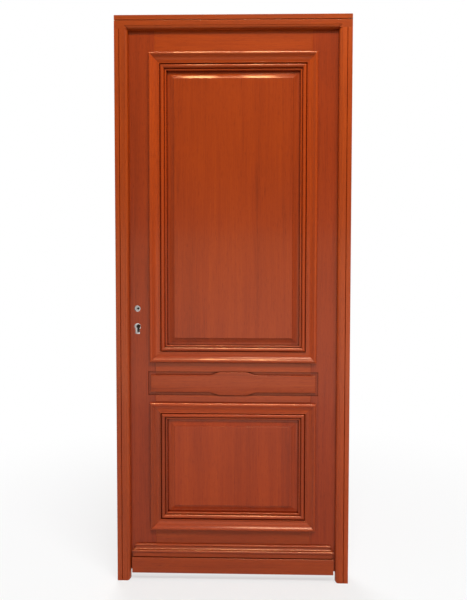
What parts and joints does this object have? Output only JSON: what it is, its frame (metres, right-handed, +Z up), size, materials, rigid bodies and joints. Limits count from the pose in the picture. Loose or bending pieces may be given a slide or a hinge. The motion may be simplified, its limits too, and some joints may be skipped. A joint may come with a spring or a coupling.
{
  "type": "wooden front door",
  "caption": "Panelled wooden front door in its frame: raised panels in heavy mouldings, a shaped middle table and a moulded plinth, hung to open inward and locked at several points.",
  "frame": {"origin": "floor line midway between the jambs, at the frame's mid depth", "axes": "+X to the hinge side seen from outside, +Y to the inside of the house, +Z up"},
  "size_m": [0.9, 0.0826, 2.175],
  "materials": {
    "varnished_wood": "satin-gloss red-brown varnish",
    "rubber_seal": "matte",
    "zinc_plated": "bright zinc plate",
    "steel": "satin",
    "brass_ring": "satin"
  },
  "bodies": {
    "frame": {"left_jamb": "varnished_wood", "left_jamb_core": "varnished_wood", "left_jamb_back": "varnished_wood", "right_jamb": "varnished_wood", "right_jamb_core": "varnished_wood", "right_jamb_back": "varnished_wood", "head": "varnished_wood", "left_seal": "rubber_seal", "right_seal": "rubber_seal", "head_seal": "rubber_seal", "main_strike": "zinc_plated", "upper_strike": "zinc_plated", "lower_strike": "zinc_plated", "strike_screws": "steel", "hinge_1_fixed": "steel", "hinge_2_fixed": "steel", "hinge_3_fixed": "steel", "hinge_4_fixed": "steel", "hinge_pins": "steel", "hinge_rings": "brass_ring", "frame_hinge_screws": "steel"},
    "leaf": {"lock_stile": "varnished_wood", "hinge_stile": "varnished_wood", "top_rail": "varnished_wood", "middle_rail": "varnished_wood", "bottom_rail": "varnished_wood", "upper_moulding_left": "varnished_wood", "upper_moulding_right": "varnished_wood", "upper_moulding_top": "varnished_wood", "upper_moulding_bottom": "varnished_wood", "lower_moulding_left": "varnished_wood", "lower_moulding_right": "varnished_wood", "lower_moulding_top": "varnished_wood", "lower_moulding_bottom": "varnished_wood", "upper_panel": "varnished_wood", "lower_panel": "varnished_wood", "middle_table": "varnished_wood", "plinth": "varnished_wood", "face_plate": "zinc_plated", "lock_case": "zinc_plated", "lock_cover": "zinc_plated", "upper_bolt_case": "zinc_plated", "lower_bolt_case": "zinc_plated", "hinge_1_moving": "steel", "hinge_2_moving": "steel", "hinge_3_moving": "steel", "hinge_4_moving": "steel", "leaf_hinge_screws": "steel", "face_plate_screws": "steel"},
    "hub": {"spindle_hub": "zinc_plated"},
    "latch": {"latch_bolt": "zinc_plated"},
    "deadbolt": {"deadbolt": "zinc_plated"},
    "upper_rod": {"upper_rod": "steel"},
    "lower_rod": {"lower_rod": "steel"},
    "upper_bolt": {"upper_bolt": "zinc_plated"},
    "lower_bolt": {"lower_bolt": "zinc_plated"}
  },
  "joints": [
    {"name": "leaf_swing", "type": "hinge", "parent": "frame", "child": "leaf", "pos_m": [0.4135, 0.0416, 0], "axis": [0, 0, -1], "range_deg": [0, 110]},
    {"name": "hub_turn", "type": "hinge", "parent": "leaf", "child": "hub", "pos_m": [-0.372, 0.0115, 1.066], "axis": [0, -1, 0], "range_deg": [0, 35]},
    {"name": "latch_slide", "type": "slide", "parent": "leaf", "child": "latch", "axis": [-1, 0, 0], "range_m": [0, 0.01145]},
    {"name": "deadbolt_slide", "type": "slide", "parent": "leaf", "child": "deadbolt", "axis": [-1, 0, 0], "range_m": [0, 0.02]},
    {"name": "upper_rod_slide", "type": "slide", "parent": "leaf", "child": "upper_rod", "axis": [0, 0, 1], "range_m": [0, 0.02]},
    {"name": "lower_rod_slide", "type": "slide", "parent": "leaf", "child": "lower_rod", "axis": [0, 0, -1], "range_m": [0, 0.02]},
    {"name": "upper_bolt_slide", "type": "slide", "parent": "leaf", "child": "upper_bolt", "axis": [-1, 0, 0], "range_m": [0, 0.02]},
    {"name": "lower_bolt_slide", "type": "slide", "parent": "leaf", "child": "lower_bolt", "axis": [-1, 0, 0], "range_m": [0, 0.02]}
  ],
  "couplings": [
    {"joint": "latch_slide", "follows": "hub_turn", "m_per_rad": 0.018706},
    {"joint": "upper_rod_slide", "follows": "deadbolt_slide", "ratio": 1},
    {"joint": "lower_rod_slide", "follows": "deadbolt_slide", "ratio": 1},
    {"joint": "upper_bolt_slide", "follows": "deadbolt_slide", "ratio": 1},
    {"joint": "lower_bolt_slide", "follows": "deadbolt_slide", "ratio": 1}
  ]
}
